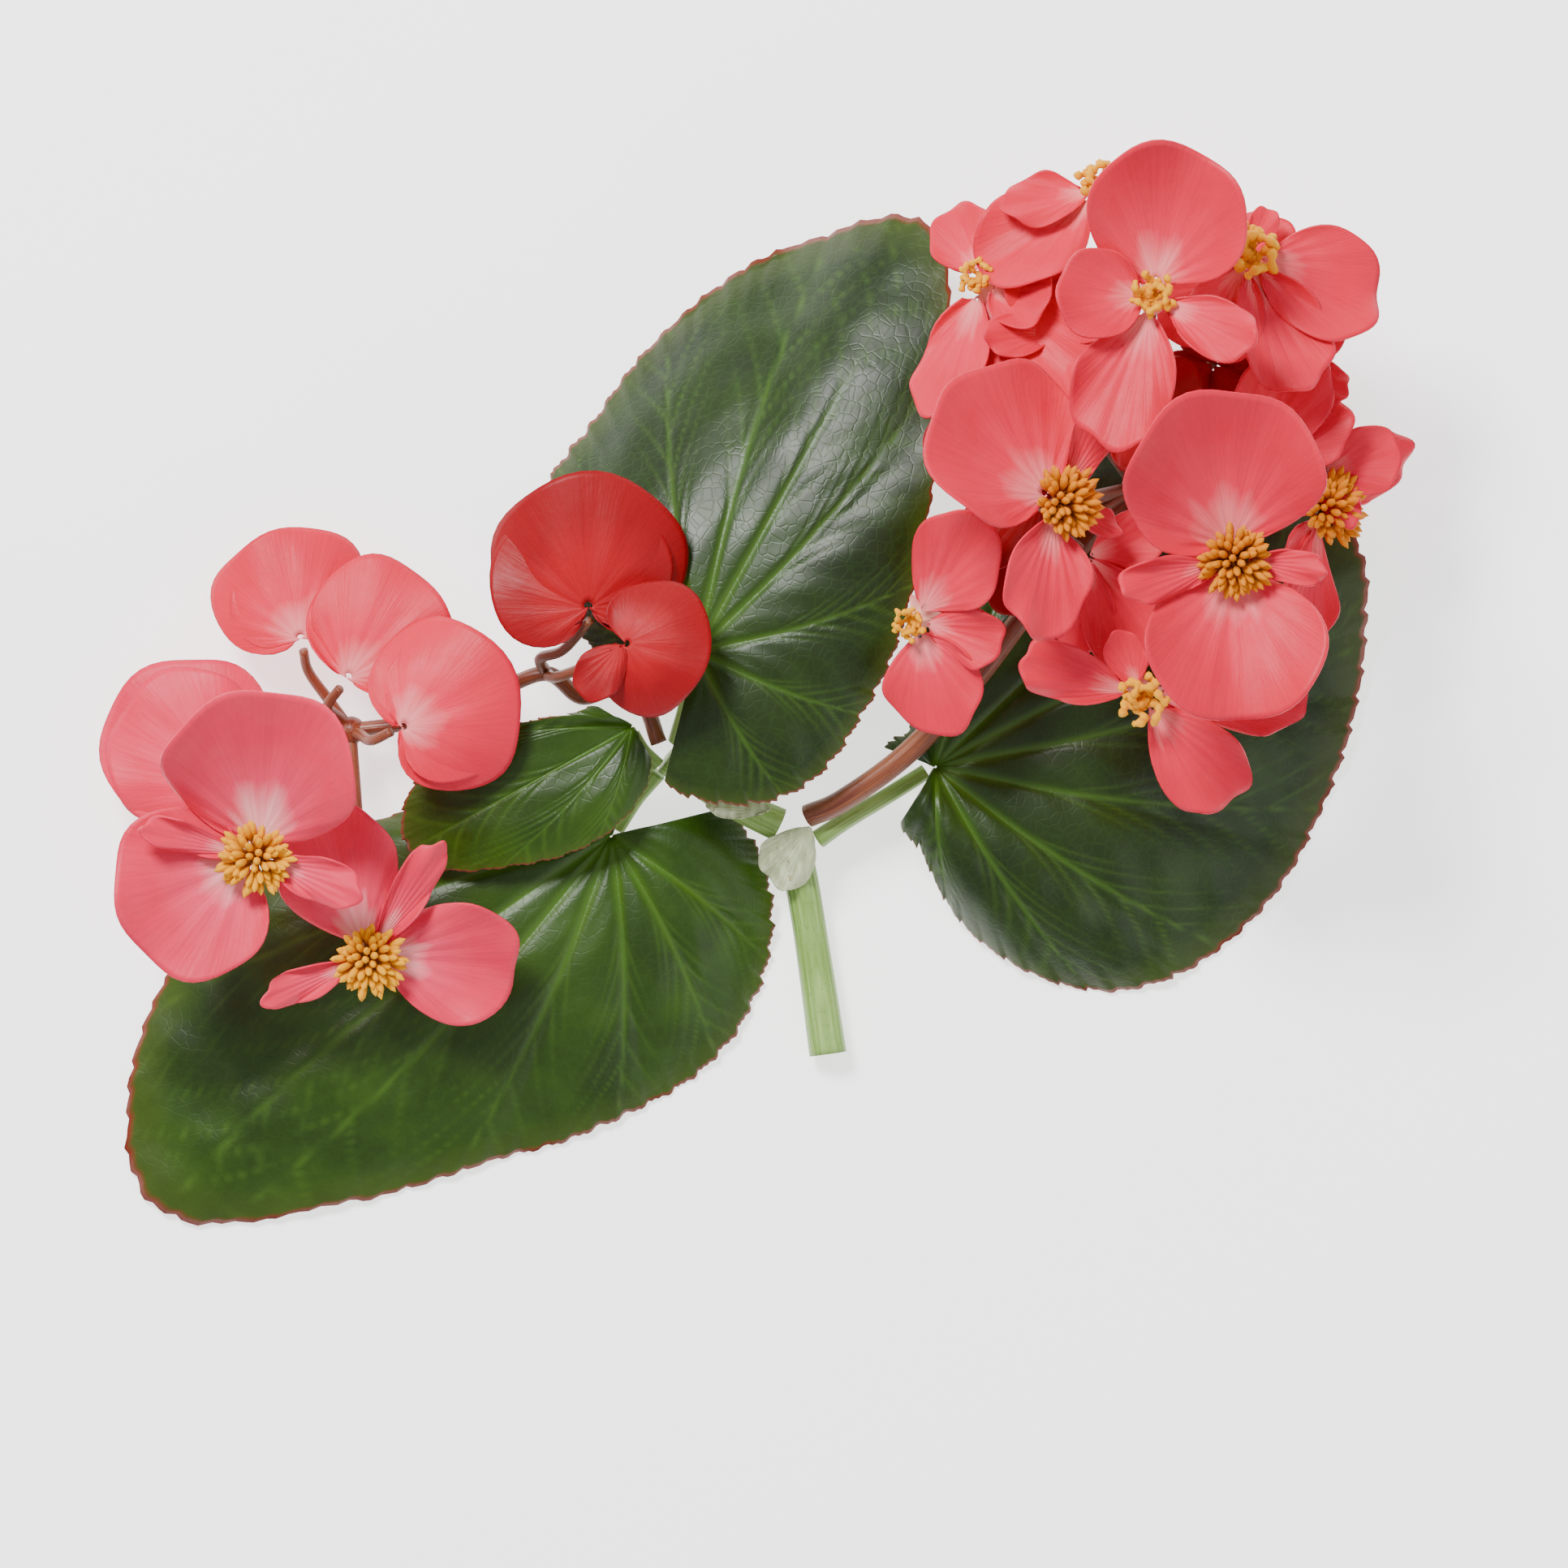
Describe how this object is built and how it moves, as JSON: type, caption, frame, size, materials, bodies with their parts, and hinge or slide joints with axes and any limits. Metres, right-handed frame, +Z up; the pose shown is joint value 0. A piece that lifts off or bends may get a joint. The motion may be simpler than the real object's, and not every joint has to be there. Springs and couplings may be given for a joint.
{
  "type": "cut begonia sprig",
  "caption": "Cut begonia sprig lying on a surface: lopsided toothed leaves, a forked juicy stem and clusters of coral-red flowers.",
  "frame": {"origin": "centre of the sprig's footprint, on the surface that it lies on", "axes": "+Z up from the surface; +X towards the larger flower cluster; +Y away from the cut end of the stem"},
  "size_m": [0.189, 0.153, 0.0641],
  "materials": {
    "leaf_dark": "dark green leaf, glossy cuticle",
    "leaf_light": "mid green leaf, glossy cuticle",
    "stem_green": "pale green juicy stem",
    "stalk_brown": "red-brown flower stalk",
    "stipule": "papery pale green stipule",
    "pollen": "yellow stamens and stigmas",
    "tepal_red": "deep red tepal",
    "tepal_pink": "pink-red tepal, paler base",
    "tepal_coral": "coral red tepal, paler base"
  },
  "bodies": {
    "root": {"back_stigmas": "pollen", "back_tepals": "tepal_coral", "bottom_stigmas": "pollen", "bottom_tepals": "tepal_coral", "centre_stamens": "pollen", "centre_tepal_left": "tepal_coral", "centre_tepal_lower": "tepal_coral", "centre_tepal_side_lower": "tepal_coral", "centre_tepal_side_upper": "tepal_coral", "crown_stigmas": "pollen", "crown_tepal_left": "tepal_coral", "crown_tepal_lower": "tepal_coral", "crown_tepal_right": "tepal_coral", "crown_tepal_upper": "tepal_coral", "front_stamens": "pollen", "front_tepal_lower": "tepal_coral", "front_tepal_side_left": "tepal_coral", "front_tepal_side_right": "tepal_coral", "front_tepal_upper": "tepal_coral", "leaf_left": "leaf_light", "leaf_right": "leaf_dark", "leaf_upper": "leaf_dark", "leaf_young": "leaf_light", "left_back_tepals": "tepal_coral", "left_front_stamens": "pollen", "left_front_tepal_lower": "tepal_pink", "left_front_tepal_side_left": "tepal_pink", "left_front_tepal_side_right": "tepal_pink", "left_front_tepal_upper": "tepal_pink", "left_inner_tepals": "tepal_coral", "left_lower_stamens": "pollen", "left_lower_tepal_right": "tepal_pink", "left_lower_tepal_side_lower": "tepal_pink", "left_lower_tepal_side_upper": "tepal_pink", "left_lower_tepal_upper": "tepal_pink", "left_outer_tepals": "tepal_pink", "left_top_tepals": "tepal_coral", "nodding_tepals": "tepal_coral", "peduncle_left": "stalk_brown", "peduncle_right": "stalk_brown", "petiole_left": "stem_green", "petiole_right": "stem_green", "petiole_upper": "stem_green", "petiole_young": "stem_green", "red_lower_tepals": "tepal_red", "red_upper_tepals": "tepal_red", "right_edge_stamens": "pollen", "right_edge_tepals": "tepal_coral", "right_upper_stigmas": "pollen", "right_upper_tepals": "tepal_coral", "ruffled_tepals": "tepal_coral", "shaded_tepals": "tepal_red", "side_lower_stigmas": "pollen", "side_lower_tepals": "tepal_coral", "side_upper_stigmas": "pollen", "side_upper_tepals": "tepal_coral", "stem_lower": "stem_green", "stem_upper": "stem_green", "stipule_front": "stipule", "stipule_rear": "stipule"}
  },
  "joints": []
}
